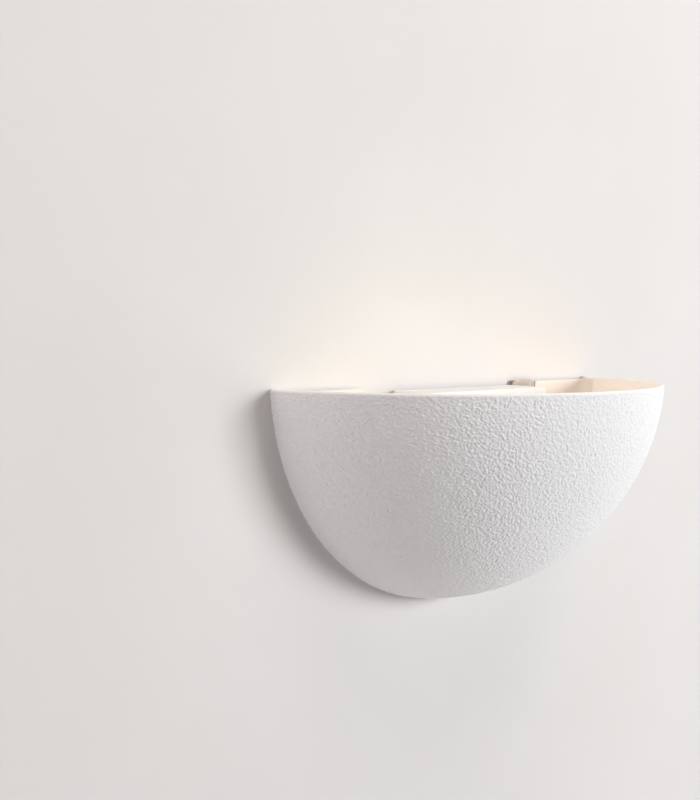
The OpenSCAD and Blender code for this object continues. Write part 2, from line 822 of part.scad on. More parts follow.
// The flared housing between the cap and the globe
module lamp_housing() color(white_plastic) lamp_turned() {
    neck_r = cap_r + flare_past;
    flare = [for (k = [0 : flare_steps]) let (t = k / flare_steps, ease = t * t * (3 - 2 * t))
        [neck_r + (joint_r - neck_r) * ease, cap_len + (joint_at - cap_len) * t]];
    inner = [for (k = [flare_steps : -1 : 0]) flare[k] - [bulb_t, 0]];
    polygon(concat(flare, inner));
}

// The screw cap, drawn with the crests of its thread
module lamp_cap() color(nickel) lamp_turned() difference() {
    union() {
        translate([0, cap_from]) square([cap_root_r, cap_len - cap_from]);
        for (k = [0 : cap_crests - 1])
            translate([cap_r - crest_r, crest_from + k * crest_pitch]) circle(crest_r, $fn = 24);
    }
    translate([0, cap_from + contact_h]) square([cap_inner_r, cap_len]);
}

module lamp_insulator() color(black_rubber) lamp_turned()
    polygon([[0, contact_h], [insulator_r, contact_h], [cap_inner_r + 0.4, cap_from], [0, cap_from]]);

module lamp_contact() color(nickel) lamp_turned()
    polygon([[0, 0], [contact_face_r, 0], [contact_r, contact_edge], [contact_r, contact_h],
        [0, contact_h]]);

// The round board of light diodes under the globe
module lamp_led_board() color(zinc) lamp_turned() {
    translate([0, joint_at - board_t]) square([joint_r - bulb_t - board_gap, board_t]);
    translate([joint_r * 0.55, joint_at]) square([chip_w, chip_h]);
}

bowl_shell();
back_panel();
nut_washers();
thumb_nut_left();
thumb_nut_right();
wall_bracket();
bracket_studs();
cable_bush();
wiring_cover();
cover_pillars();
cover_screws();
wire_bush();
terminal_block();
terminal_sleeves();
terminal_screws();
terminal_fixing_screws();
earth_screw();
earth_washer();
earth_lug();
earth_wire();
live_wire();
neutral_wire();
holder_strip();
strip_screws();
holder_body();
holder_collar();
holder_thread();
holder_contact();
holder_screws();
lamp_globe();
lamp_housing();
lamp_cap();
lamp_insulator();
lamp_contact();
lamp_led_board();
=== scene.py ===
import json
import math

import bmesh
import bpy
from mathutils import Matrix, Vector, noise

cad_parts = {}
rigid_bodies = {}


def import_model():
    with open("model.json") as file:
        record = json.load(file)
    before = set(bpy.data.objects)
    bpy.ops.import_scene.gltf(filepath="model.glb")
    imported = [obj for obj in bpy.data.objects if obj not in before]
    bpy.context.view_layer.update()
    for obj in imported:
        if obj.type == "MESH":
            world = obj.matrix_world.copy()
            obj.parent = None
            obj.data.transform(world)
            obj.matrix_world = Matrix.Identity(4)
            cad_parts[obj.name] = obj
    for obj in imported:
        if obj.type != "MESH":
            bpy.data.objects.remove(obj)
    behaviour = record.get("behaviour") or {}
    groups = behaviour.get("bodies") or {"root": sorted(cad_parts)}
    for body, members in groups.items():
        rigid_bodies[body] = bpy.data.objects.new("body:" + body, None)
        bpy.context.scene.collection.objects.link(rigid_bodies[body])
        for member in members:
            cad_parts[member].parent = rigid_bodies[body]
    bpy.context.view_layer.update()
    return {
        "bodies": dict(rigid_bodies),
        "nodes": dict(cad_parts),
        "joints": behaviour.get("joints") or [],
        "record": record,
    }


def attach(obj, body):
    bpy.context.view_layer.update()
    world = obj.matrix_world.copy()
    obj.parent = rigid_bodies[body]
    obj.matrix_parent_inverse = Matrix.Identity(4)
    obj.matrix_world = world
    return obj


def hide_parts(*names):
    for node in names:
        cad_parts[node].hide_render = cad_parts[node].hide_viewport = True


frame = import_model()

nodes = frame["nodes"]
scene = bpy.context.scene
MM = 0.001


def at(x, y, z):
    """A point given in millimetres, as the scene's metres."""
    return Vector((x, y, z)) * MM


# ---------------------------------------------------------------- materials


class Finish:
    """One procedural material, built up node by node in object space."""

    MOST = (0.3, 0.7)  # most of a noise's values lie between these
    ROUNDED = (0.75, 0.99)  # cosines between a face and the bevel across its edge
    FACTOR, FIRST, SECOND, MIXED = 0, 6, 7, 2  # sockets of the mixer when it mixes colours

    def __init__(self, name, roughness=0.5, metallic=0.0, **sockets):
        self.material = bpy.data.materials.new(name)
        self.material.use_nodes = True
        self.tree = self.material.node_tree
        self.bsdf = self.tree.nodes["Principled BSDF"]
        self.bsdf.inputs["Roughness"].default_value = roughness
        self.bsdf.inputs["Metallic"].default_value = metallic
        for socket, value in sockets.items():
            self.bsdf.inputs[socket.replace("_", " ")].default_value = value
        self.place = self.add("ShaderNodeTexCoord").outputs["Object"]

    def add(self, kind, **settings):
        """A new node."""
        node = self.tree.nodes.new(kind)
        for key, value in settings.items():
            setattr(node, key, value)
        return node

    def feed(self, socket, value):
        """Links another node's socket to this one, or sets a plain value."""
        if isinstance(value, bpy.types.NodeSocket):
            self.tree.links.new(value, socket)
        else:
            socket.default_value = value

    def noise(self, size, detail=2.0, roughness=0.5, distortion=0.0, place=None):
        """Soft noise whose blobs are about size millimetres across, from 0 to 1."""
        node = self.add("ShaderNodeTexNoise")
        self.feed(node.inputs["Vector"], place or self.place)
        node.inputs["Scale"].default_value = 1 / (size * MM)
        node.inputs["Detail"].default_value = detail
        node.inputs["Roughness"].default_value = roughness
        node.inputs["Distortion"].default_value = distortion
        return node.outputs["Fac"]

    def cells(self, size):
        """The distance to the middle of cells about size millimetres apart."""
        node = self.add("ShaderNodeTexVoronoi", feature="F1")
        self.feed(node.inputs["Vector"], self.place)
        node.inputs["Scale"].default_value = 1 / (size * MM)
        return node.outputs["Distance"]

    def stretch(self, x, y, z):
        """Object space scaled per axis, for brushed or drawn grain."""
        node = self.add("ShaderNodeMapping")
        self.feed(node.inputs["Vector"], self.place)
        node.inputs["Scale"].default_value = (x, y, z)
        return node.outputs["Vector"]

    def math(self, operation, a, b):
        """The result of an operation on two values or sockets."""
        node = self.add("ShaderNodeMath", operation=operation)
        self.feed(node.inputs[0], a)
        self.feed(node.inputs[1], b)
        return node.outputs[0]

    def spread(self, value, low, high, to_low=0.0, to_high=1.0):
        """value from low..high to to_low..to_high, clamped."""
        node = self.add("ShaderNodeMapRange", interpolation_type="SMOOTHSTEP")
        for socket, v in zip(node.inputs, (value, low, high, to_low, to_high)):
            self.feed(socket, v)
        return node.outputs[0]

    def even(self, value, to_low=0.0, to_high=1.0):
        """A noise spread over to_low..to_high."""
        return self.spread(value, *self.MOST, to_low, to_high)

    def mix(self, factor, first, second):
        """A colour from first to second; each is a tuple or another node's colour."""
        node = self.add("ShaderNodeMix", data_type="RGBA")
        self.feed(node.inputs[self.FACTOR], factor)
        for socket, colour in ((self.FIRST, first), (self.SECOND, second)):
            self.feed(node.inputs[socket], (*colour, 1) if isinstance(colour, tuple) else colour)
        return node.outputs[self.MIXED]

    def bump(self, height, depth, over=None):
        """A bump of depth millimetres over another bump, if one is given."""
        node = self.add("ShaderNodeBump")
        node.inputs["Distance"].default_value = depth * MM
        node.inputs["Strength"].default_value = 1.0
        self.feed(node.inputs["Height"], height)
        if over is not None:
            self.feed(node.inputs["Normal"], over)
        return node.outputs["Normal"]

    def edges(self, radius):
        """Near 1 where a sharp edge lies within radius millimetres, else 0."""
        bevel = self.add("ShaderNodeBevel", samples=4)
        bevel.inputs["Radius"].default_value = radius * MM
        flat = self.add("ShaderNodeNewGeometry").outputs["Normal"]
        dot = self.add("ShaderNodeVectorMath", operation="DOT_PRODUCT")
        self.feed(dot.inputs[0], bevel.outputs[0])
        self.feed(dot.inputs[1], flat)
        return self.spread(dot.outputs["Value"], *self.ROUNDED, 1.0, 0.0)

    def set(self, colour, roughness, normal):
        """Feeds the shader, whose own roughness stays where None is given."""
        self.feed(self.bsdf.inputs["Base Color"], colour)
        if roughness is not None:
            self.feed(self.bsdf.inputs["Roughness"], roughness)
        self.feed(self.bsdf.inputs["Normal"], normal)
        return self.material


def sand_paint():
    """The bowl's coarse sand-textured powder coat, with painted shade in the grain's hollows."""
    f = Finish("sand_paint", IOR=1.45)
    ridges = f.noise(1.3, 2.5, 0.62, 0.9)
    dust = f.noise(0.55, 2.0)
    height = f.math("ADD", ridges, f.math("MULTIPLY", dust, 0.2))
    # The grain's low places are painted darker: painted shade in its hollows.
    hollow_shade = f.spread(ridges, 0.25, 0.55)
    shade = f.mix(f.noise(45, 2), (0.845, 0.832, 0.838), (0.868, 0.856, 0.858))
    colour = f.mix(hollow_shade, (0.835, 0.822, 0.828), shade)
    return f.set(colour, f.even(dust, 0.82, 0.95), f.bump(height, 0.10))


def smooth_paint(name, dark, light):
    """The same coat where it lies smooth: inside the bowl, on the panel and the rim."""
    f = Finish(name, IOR=1.33)
    peel = f.noise(3.2, 2)
    fine = f.noise(0.6, 2)
    colour = f.mix(f.noise(30, 3), dark, light)
    normal = f.bump(peel, 0.10)
    return f.set(colour, f.even(fine, 0.6, 0.8), f.bump(fine, 0.05, over=normal))


def moulded(name, dark, light, rough=(0.35, 0.5), grain=0.8, depth=0.03):
    """Moulded plastic, rubber or enamel: a fine grain, faint clouds and rubbed edges."""
    f = Finish(name)
    fine = f.noise(grain, 2)
    colour = f.mix(f.noise(14, 3), dark, light)
    worn = f.math("MULTIPLY", f.edges(0.4), f.spread(f.noise(3, 3), 0.35, 0.65))
    colour = f.mix(f.math("MULTIPLY", worn, 0.35), colour, tuple(min(1, c * 1.12) for c in light))
    return f.set(colour, f.even(fine, *rough), f.bump(fine, depth))


def metal(name, dark, light, rough=(0.25, 0.45), along=(1, 1, 1), depth=0.02, spots=None):
    """Plated or bare metal: drawn grain, clouds in the plating and brighter edges."""
    f = Finish(name, metallic=1.0)
    grain = f.noise(0.5, 3, 0.6, place=f.stretch(*along))
    cloud = f.noise(7, 3, 0.6)
    colour = f.mix(f.even(cloud), dark, light)
    if spots:
        colour = f.mix(f.spread(f.noise(2.2, 4, 0.65), 0.56, 0.72), colour, spots)
    bright = tuple(min(1, c * 1.15) for c in light)
    colour = f.mix(f.math("MULTIPLY", f.edges(0.35), 0.6), colour, bright)
    return f.set(colour, f.even(grain, *rough), f.bump(grain, depth))


def brown_steel():
    """The strip: yellow-brown passivated steel, rolled along its length."""
    f = Finish("brown_steel", metallic=0.55)
    grain = f.noise(0.6, 3, 0.6, place=f.stretch(1, 1, 0.12))
    cloud = f.noise(9, 4, 0.6, 0.8)
    colour = f.mix(f.even(cloud), (0.265, 0.226, 0.194), (0.40, 0.357, 0.32))
    colour = f.mix(f.math("MULTIPLY", f.edges(0.4), 0.5), colour, (0.52, 0.47, 0.42))
    return f.set(colour, f.even(grain, 0.38, 0.58), f.bump(grain, 0.02))


def striped_wire():
    """Green wire insulation with a yellow stripe that winds slowly round it."""
    f = Finish("earth_sleeve")
    band = f.add("ShaderNodeTexWave", wave_type="BANDS", bands_direction="DIAGONAL")
    f.feed(band.inputs["Vector"], f.place)
    band.inputs["Scale"].default_value = 90
    band.inputs["Distortion"].default_value = 1.5
    stripe = f.spread(band.outputs["Fac"], 0.45, 0.55)
    fine = f.noise(0.5, 2)
    colour = f.mix(stripe, (0.62, 0.55, 0.03), (0.03, 0.28, 0.07))
    return f.set(colour, f.even(fine, 0.35, 0.5), f.bump(fine, 0.02))


def glowing(strength):
    """The lamp's frosted diffuser, lit from within."""
    f = Finish("lit_diffuser")
    frost = f.noise(0.5, 2)
    clouds = f.noise(18, 2)
    colour = f.mix(clouds, (0.93, 0.90, 0.84), (0.96, 0.94, 0.90))
    glow = f.mix(f.even(clouds), (1.0, 0.80, 0.58), (1.0, 0.86, 0.68))
    f.feed(f.bsdf.inputs["Emission Color"], glow)
    f.bsdf.inputs["Emission Strength"].default_value = strength
    return f.set(colour, f.even(frost, 0.3, 0.45), f.bump(frost, 0.02))


def circuit_board():
    """An aluminium-backed board with a white solder mask."""
    f = Finish("circuit_board")
    fine = f.noise(0.4, 2)
    lines = f.spread(f.cells(4.5), 0.42, 0.46)
    colour = f.mix(lines, (0.86, 0.86, 0.84), (0.72, 0.73, 0.70))
    return f.set(colour, f.even(fine, 0.35, 0.5), f.bump(lines, 0.03))


SAND = sand_paint()
# The inside and rim wear the outer coat's paint, tinted warm: painted warm lamp light.
WARM_LIT_PAINT = smooth_paint("smooth_paint", (0.86, 0.835, 0.80), (0.885, 0.86, 0.825))
# The back panel wears the same coat, darker and warmer: painted shade and painted warm lamp light.
SHADED_PANEL_PAINT = smooth_paint("shaded_panel_paint", (0.73, 0.70, 0.67), (0.755, 0.725, 0.695))
COVER = moulded("cover_enamel", (0.785, 0.77, 0.75), (0.82, 0.805, 0.785), (0.4, 0.55))
WHITE = moulded("white_moulding", (0.80, 0.79, 0.76), (0.85, 0.84, 0.81))
CERAMIC = moulded("holder_moulding", (0.82, 0.81, 0.78), (0.87, 0.86, 0.83), (0.22, 0.34), 1.6, 0.012)
HOUSING = moulded("lamp_moulding", (0.84, 0.84, 0.83), (0.88, 0.88, 0.87), (0.3, 0.42))
BLACK = moulded("black_rubber", (0.018, 0.018, 0.018), (0.035, 0.034, 0.033), (0.6, 0.8), 0.6, 0.05)
GLASS_BLACK = moulded("black_insulator", (0.012, 0.012, 0.014), (0.03, 0.03, 0.035), (0.12, 0.22))
LIVE = moulded("live_sleeve", (0.16, 0.065, 0.025), (0.21, 0.09, 0.035), (0.35, 0.5), 0.5)
NEUTRAL = moulded("neutral_sleeve", (0.03, 0.14, 0.42), (0.05, 0.19, 0.50), (0.35, 0.5), 0.5)
EARTH_SLEEVE = striped_wire()
ZINC = metal("zinc_plate", (0.50, 0.52, 0.53), (0.68, 0.69, 0.70), (0.3, 0.5), (0.15, 1, 1), 0.02)
SCREW_ZINC = metal("zinc_screw", (0.52, 0.53, 0.54), (0.72, 0.73, 0.73), (0.22, 0.38))
NICKEL = metal("nickel_plate", (0.62, 0.60, 0.56), (0.76, 0.74, 0.70), (0.14, 0.28))
BRASS = metal("bare_brass", (0.58, 0.42, 0.18), (0.75, 0.58, 0.28), (0.2, 0.36), spots=(0.42, 0.28, 0.12))
STEEL = brown_steel()
GLOW = glowing(0.9)
BOARD = circuit_board()

# ------------------------------------------------------------------- meshes


def placed(name, data):
    """A new object in the scene."""
    obj = bpy.data.objects.new(name, data)
    scene.collection.objects.link(obj)
    return obj


def evaluated(obj):
    """A mesh with the object's modifiers applied."""
    return bpy.data.meshes.new_from_object(obj.evaluated_get(bpy.context.evaluated_depsgraph_get()))


def smoothed(mesh, sharp):
    """Shades a mesh smoothly but for edges above sharp degrees."""
    mesh.update()
    mesh.shade_smooth()
    mesh.set_sharp_from_angle(angle=math.radians(sharp))


def seated(obj, body, node, look):
    """Puts a piece on its body in place of a CAD node, which gets the same look."""
    for place in nodes[node].material_slots:
        place.material = look
    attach(obj, body)
    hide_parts(node)
    return obj


def dressed(node, mesh, body, slot, look):
    """A piece made from a mesh, with flat faces that shade evenly up to their soft edges."""
    smoothed(mesh, 40)
    mesh.materials.append(look)
    obj = placed(node + "_skin", mesh)
    even = obj.modifiers.new("even", "WEIGHTED_NORMAL")
    even.keep_sharp = True
    obj.data = evaluated(obj)
    obj.modifiers.remove(even)
    return seated(obj, body, node, look)


# --------------------------------------------------------------------- bowl

# In millimetres. The outside is part of a ball through the back corners, the rim's front and
# the lowest point of the back.
BOWL_W, BOWL_D, BOWL_H, BOWL_T, RIM_UP, WALL_GAP = 300, 128, 141.4, 3, 46.4, 0.5
HALF = BOWL_W / 2
BALL_Y = (HALF**2 - BOWL_D**2) / (2 * BOWL_D)
BALL_UP = (HALF**2 - BOWL_H**2) / (2 * BOWL_H)
BALL_R = math.sqrt(HALF**2 + BALL_Y**2 + BALL_UP**2)
BALL = Vector((0, BALL_Y, RIM_UP + BALL_UP))
RIM_ROUND = BOWL_T / 2
RIM_SIN = (BALL_UP + RIM_ROUND) / (BALL_R - RIM_ROUND)
COLUMNS, ROWS, INNER_ROWS, RIM_STEPS = 900, 430, 40, 10
FIRST_COLUMN, LEAST_ARC = math.radians(9.3), math.radians(1.5)
PAST_WALL = 3  # the rows start this far behind the wall's face, before the back is cut off
SMOOTH_RIM, GRAIN_FADE = 0.8, 1.2  # below the rim: a smooth band, then the grain comes up
FINE, COARSE, WAVES, FINE_DEPTH, COARSE_SHARE, WAVE_DEPTH = 0.87, 1.8, 38, 0.44, 0.4, 0.08
SEED = Vector((31.7, 12.9, 57.3))
WELD, ON_PLANE = 2e-6, 1e-6  # in metres


def ball_way(alpha, phi):
    """A direction from the ball's centre: alpha from +X, and phi round X from the front down."""
    around = math.sin(alpha)
    return Vector((math.cos(alpha), -around * math.cos(phi), -around * math.sin(phi)))


def sand_height(p):
    """The coat's coarse unevenness in millimetres, at a point in millimetres."""
    grains = noise.noise(p / FINE + SEED) + COARSE_SHARE * noise.noise(p / COARSE + SEED * 2)
    return FINE_DEPTH * grains + WAVE_DEPTH * noise.noise(p / WAVES + SEED)


def bowl():
    """The cast bowl: a sand-coated outer skin, a round smooth rim and a smooth inside."""
    verts, faces, zones = [], [], []
    total = ROWS + RIM_STEPS + INNER_ROWS + 1
    for c in range(COLUMNS + 1):
        alpha = FIRST_COLUMN + (math.pi - 2 * FIRST_COLUMN) * c / COLUMNS
        top = math.asin(RIM_SIN / math.sin(alpha))
        back = math.acos(min(1, (BALL_Y - PAST_WALL) / (BALL_R * math.sin(alpha))))
        back = max(back, top + LEAST_ARC)
        for r in range(ROWS, -1, -1):
            way = ball_way(alpha, top + (back - top) * r / ROWS)
            p = BALL + way * BALL_R
            grain = min(1, max(0, (RIM_UP - SMOOTH_RIM - p.z) / GRAIN_FADE))
            verts.append((p + way * sand_height(p) * grain) * MM)
        out = ball_way(alpha, top)
        level = Vector((out.x, out.y, 0)).normalized()
        up = Vector((0, 0, 1)) * level.dot(out) - level * out.z
        ring = BALL + out * (BALL_R - RIM_ROUND)
        for k in range(1, RIM_STEPS):
            turn = math.pi * k / RIM_STEPS
            verts.append((ring + (out * math.cos(turn) + up * math.sin(turn)) * RIM_ROUND) * MM)
        for r in range(INNER_ROWS + 1):
            way = ball_way(alpha, top + (back - top) * r / INNER_ROWS)
            verts.append((BALL + way * (BALL_R - BOWL_T)) * MM)
    for c in range(COLUMNS):
        for r in range(total - 1):
            a = c * total + r
            faces.append((a, a + 1, a + total + 1, a + total))
            zones.append(0 if r < ROWS + 1 else 1)
    mesh = bpy.data.meshes.new("bowl_skin")
    mesh.from_pydata([tuple(v) for v in verts], [], faces)
    mesh.materials.append(SAND)
    mesh.materials.append(WARM_LIT_PAINT)
    mesh.polygons.foreach_set("material_index", zones)
    bm = bmesh.new()
    bm.from_mesh(mesh)
    bmesh.ops.remove_doubles(bm, verts=bm.verts, dist=WELD)
    bmesh.ops.bisect_plane(
        bm, geom=bm.verts[:] + bm.edges[:] + bm.faces[:], dist=ON_PLANE,
        plane_co=(0, -WALL_GAP * MM, 0), plane_no=(0, 1, 0), clear_outer=True)
    rims = [e for e in bm.edges if e.is_boundary]
    bmesh.ops.holes_fill(bm, edges=rims, sides=0)
    bmesh.ops.recalc_face_normals(bm, faces=bm.faces)
    bm.to_mesh(mesh)
    bm.free()
    smoothed(mesh, 50)
    seated(placed("bowl_skin", mesh), "bowl", "bowl_shell", SAND)


bowl()

# --------------------------------------------------------- building helpers

TAU = 2 * math.pi
ON_AXIS = 1e-6
LAMP_OUT, LAMP_Z = 65, 8  # the lamp's axis, which lies along X
ARM_X, LAMP_TIP = 58, 38  # the near face of the strip's arm, and the tip of the lamp's cap


def out_of_wall(x, z):
    """A frame for turned shapes: distances run out from the wall at (x, z)."""
    return lambda r, d, turn: Vector((x + r * math.cos(turn), -d, z + r * math.sin(turn)))


def along_lamp(start):
    """A frame for turned shapes: distances run from x = start to the left, on the lamp's axis."""
    return lambda r, d, turn: Vector(
        (start - d, -LAMP_OUT + r * math.cos(turn), LAMP_Z + r * math.sin(turn)))


def along_wall(out, z):
    """A frame for turned shapes: distances are places along X."""
    return lambda r, d, turn: Vector((d, -out + r * math.cos(turn), z + r * math.sin(turn)))


def upward(x, out):
    """A frame for turned shapes: distances are heights."""
    return lambda r, d, turn: Vector((x + r * math.cos(turn), -out + r * math.sin(turn), d))


def local(r, d, turn):
    """A frame for turned shapes about the local Z axis."""
    return Vector((r * math.cos(turn), r * math.sin(turn), d))


def on_wall(a, b, h):
    """Maps a flat (x, z) outline and a distance from the wall to a point."""
    return Vector((a, -h, b))


def across_arm(a, b, h):
    """Maps a flat (distance from the wall, z) outline and a place along X to a point."""
    return Vector((h, -a, b))


def seen_from_above(a, b, h):
    """Maps a flat (x, distance from the wall) outline and a height to a point."""
    return Vector((a, -b, h))


def across_lamp(a, b, h):
    """Maps a flat (x, z) outline and a place along Y to a point."""
    return Vector((a, h, b))


def up_the_lamp(a, b, h):
    """Maps an outline square to the lamp's axis and a distance from the lamp's tip to a point."""
    return Vector((LAMP_TIP - h, -LAMP_OUT + a, LAMP_Z + b))


def straight(a, b, h):
    """Maps a flat (x, y) outline and a height to a point."""
    return Vector((a, b, h))


def arc(cx, cy, r, start, end, steps=12):
    """Points on an arc, from one angle to another in degrees."""
    turns = [math.radians(start + (end - start) * k / steps) for k in range(steps + 1)]
    return [(cx + r * math.cos(turn), cy + r * math.sin(turn)) for turn in turns]


SHARE = 0.45  # the most of a side that a soft corner may take up


def softened(profile, radius, steps=3):
    """A closed profile whose corners are rounded by up to radius, except on the axis."""
    points = [Vector(p) for p in profile]
    count, soft = len(points), []
    for i, corner in enumerate(points):
        before, after = points[i - 1] - corner, points[(i + 1) % count] - corner
        if corner.x < ON_AXIS:
            soft.append(corner)
            continue
        reach = min(radius, before.length * SHARE, after.length * SHARE)
        a, b = corner + before.normalized() * reach, corner + after.normalized() * reach
        for k in range(steps + 1):
            t = k / steps
            soft.append(a * (1 - t) ** 2 + corner * (2 * t * (1 - t)) + b * t**2)
    return soft


ARC_STEP = 0.8  # the longest side of a rounded corner


def path(*corners):
    """An outline from corners (a, b, radius), each rounded by its radius."""
    points, count, out = [Vector(c[:2]) for c in corners], len(corners), []
    for i, (corner, spec) in enumerate(zip(points, corners)):
        radius = spec[2] if len(spec) > 2 else 0
        if not radius:
            out.append(corner)
            continue
        before = (points[i - 1] - corner).normalized()
        after = (points[(i + 1) % count] - corner).normalized()
        half = before.angle(after) / 2
        centre = corner + (before + after).normalized() * (radius / math.sin(half))
        reach = radius / math.tan(half)
        first, last = corner + before * reach - centre, corner + after * reach - centre
        start = math.atan2(first.y, first.x)
        sweep = (math.atan2(last.y, last.x) - start + math.pi) % TAU - math.pi
        steps = max(4, int(abs(sweep) * radius / ARC_STEP) + 3)
        turns = [start + sweep * k / steps for k in range(steps + 1)]
        out += [centre + Vector((math.cos(turn), math.sin(turn))) * radius for turn in turns]
    return out


def slot_outline(x, z, length, width):
    """A round-ended slot along X."""
    half = (length - width) / 2
    return arc(x + half, z, width / 2, -90, 90) + arc(x - half, z, width / 2, 90, 270)


LEAST_CORNER = 0.25


def hoop(x0, x1, z0, z1, radius, out, inset=0.0, steps=6):
    """A loop round a rectangle with round corners, drawn in by inset, at a distance from the wall."""
    r, loop = max(LEAST_CORNER, radius - inset), []
    for right, up, start in ((1, 1, 0), (-1, 1, 90), (-1, -1, 180), (1, -1, 270)):
        cx = (x1 - inset - r) if right > 0 else (x0 + inset + r)
        cz = (z1 - inset - r) if up > 0 else (z0 + inset + r)
        loop += [Vector((a, -out, b)) for a, b in arc(cx, cz, r, start, start + 90, steps)]
    return loop


def smooth_way(way, steps=8):
    """A smooth line through all points of a way (Catmull-Rom)."""
    points, line = [Vector(p) for p in way], []
    for i in range(len(points) - 1):
        a, b = points[max(i - 1, 0)], points[i]
        c, d = points[i + 1], points[min(i + 2, len(points) - 1)]
        for k in range(steps):
            t = k / steps
            line.append(0.5 * (2 * b + (c - a) * t + (2 * a - 5 * b + 4 * c - d) * t * t
                               + (3 * b - a - 3 * c + d) * t**3))
    return line + [points[-1]]


class Shape:
    """A mesh under construction, in millimetres."""

    def __init__(self):
        self.bm = bmesh.new()

    def turned(self, profile, frame, segments=64, shift=None):
        """Adds a closed profile (radius, distance) turned about a frame's axis."""
        rings = []
        for turn in (TAU * k / segments for k in range(segments)):
            radii = [r + (shift(r, d, turn) if shift else 0) for r, d in profile]
            rings.append([self.bm.verts.new(frame(r, d, turn)) for r, (_, d) in zip(radii, profile)])
        for k in range(segments):
            near, far = rings[k], rings[(k + 1) % segments]
            for i in range(len(profile)):
                j = (i + 1) % len(profile)
                if profile[i][0] > ON_AXIS or profile[j][0] > ON_AXIS:
                    self.bm.faces.new((near[i], near[j], far[j], far[i]))
        return self

    def prism(self, outline, low, high, place):
        """Adds an outline extruded between two heights; place maps (a, b, height) to a point."""
        return self.loft([[place(a, b, h) for a, b in outline] for h in (low, high)])

    def loft(self, loops):
        """Adds a skin over loops with the same number of points, closed at both ends."""
        rings = [[self.bm.verts.new(p) for p in loop] for loop in loops]
        for near, far in zip(rings, rings[1:]):
            for i in range(len(near)):
                j = (i + 1) % len(near)
                self.bm.faces.new((near[i], near[j], far[j], far[i]))
        self.bm.faces.new(rings[0])
        self.bm.faces.new(rings[-1])
        return self

    def tube(self, way, radius, sides=16):
        """Adds a round tube along a way."""
        aside = Vector((0.3, 1, 0.1))  # along no part of any way
        across = aside.cross(way[1] - way[0]).normalized()
        turns, loops = [TAU * k / sides for k in range(sides)], []
        for i, p in enumerate(way):
            ahead = (way[min(i + 1, len(way) - 1)] - way[max(i - 1, 0)]).normalized()
            across = (across - ahead * across.dot(ahead)).normalized()
            other = ahead.cross(across)
            loops.append([p + (across * math.cos(t) + other * math.sin(t)) * radius for t in turns])
        return self.loft(loops)

    def copies(self, mesh, places):
        """Adds a mesh in millimetres once at each place."""
        for place in places:
            start = len(self.bm.verts)
            self.bm.from_mesh(mesh)
            self.bm.verts.ensure_lookup_table()
            bmesh.ops.transform(self.bm, matrix=place, verts=self.bm.verts[start:])
        return self

    def mesh(self, scale=1.0, merge=1e-4):
        """The finished mesh."""
        bmesh.ops.remove_doubles(self.bm, verts=self.bm.verts, dist=merge)
        bmesh.ops.dissolve_degenerate(self.bm, edges=self.bm.edges, dist=1e-5)
        bmesh.ops.recalc_face_normals(self.bm, faces=self.bm.faces)
        bmesh.ops.scale(self.bm, verts=self.bm.verts, vec=(scale, scale, scale))
        mesh = bpy.data.meshes.new("shape")
        self.bm.to_mesh(mesh)
        self.bm.free()
        return mesh


def worked(shape, cutter, bevel, joined=(), angle=35):
    """A shape with others joined on, a cutter taken away and its sharp edges bevelled."""
    obj, tools = placed("work", shape.mesh()), []
    for operation, tool in [("UNION", j) for j in joined] + [("DIFFERENCE", cutter)] * bool(cutter):
        tools.append(placed("tool", tool.mesh()))
        step = obj.modifiers.new(operation, "BOOLEAN")
        step.operation, step.object, step.solver = operation, tools[-1], "EXACT"
    soft = obj.modifiers.new("soft", "BEVEL")
    soft.width, soft.segments, soft.limit_method = bevel, 3, "ANGLE"
    soft.angle_limit, soft.use_clamp_overlap = math.radians(angle), True
    done = evaluated(obj)
    for extra in [obj] + tools:
        bpy.data.objects.remove(extra)
    return done


def in_metres(mesh):
    """A mesh that was made in millimetres."""
    mesh.transform(Matrix.Scale(MM, 4))
    return mesh


def thread(pitch, depth, low, high, inner=0.0):
    """A screw thread as a shift of turned rings between two distances, for radii above inner."""

    def shift(r, d, turn):
        if r <= inner or not low < d < high:
            return 0.0
        fade = min(1, (d - low) / pitch, (high - d) / pitch)
        return -depth * fade * (0.5 + 0.5 * math.cos(TAU * d / pitch - turn))

    return shift


def steps_along(r, start, end, step):
    """A straight part of a profile at one radius, in steps."""
    count = max(1, round(abs(end - start) / step))
    return [(r, start + (end - start) * k / count) for k in range(count + 1)]


def screw(r, head_r, head_h, pitch, length):
    """A domed screw with a cross recess, in millimetres, its head's seat at the origin, facing +Z."""
    dome = ((0, 1), (0.4, 0.98), (0.7, 0.86), (0.88, 0.66), (0.97, 0.4), (1, 0.15), (0.98, 0))
    profile = [(a * head_r, b * head_h) for a, b in dome]
    profile += steps_along(r, -0.05, -length + 0.5, pitch / 5) + [(0.6 * r, -length), (0, -length)]
    body = Shape().turned(profile, local, 28, thread(pitch, 0.16 * r, -length + 0.3, -0.3, 0.8 * r))
    wide, slim = 0.52 * head_r, 0.11 * head_r
    cross = path((slim, slim, 0.15), (wide, slim), (wide, -slim), (slim, -slim, 0.15), (slim, -wide),
                 (-slim, -wide), (-slim, -slim, 0.15), (-wide, -slim), (-wide, slim),
                 (-slim, slim, 0.15), (-slim, wide), (slim, wide))
    return worked(body, Shape().prism(cross, 0.35 * head_h, 1.2 * head_h, straight), 0.06)


COPY_MERGE = 1e-6
TO_ROOM = Matrix.Rotation(math.radians(90), 4, "X")


def screws_at(seats, out, kind, length):
    """Screws whose heads face the room, at (x, z) places, each turned a little further."""
    places = [Matrix.Translation((x, -out, z)) @ TO_ROOM @ Matrix.Rotation(turn, 4, "Z")
              for turn, (x, z) in enumerate(seats)]
    return in_metres(Shape().copies(screw(*kind, length), places).mesh(merge=COPY_MERGE))


def rod(r, low, high):
    """The profile of a round rod between two distances."""
    return [(0, low), (r, low), (r, high), (0, high)]


def hole(x, z, r, low, high):
    """What turns into a cutter square to the wall."""
    return rod(r, low, high), out_of_wall(x, z)


# ------------------------------------------------------------------- pieces

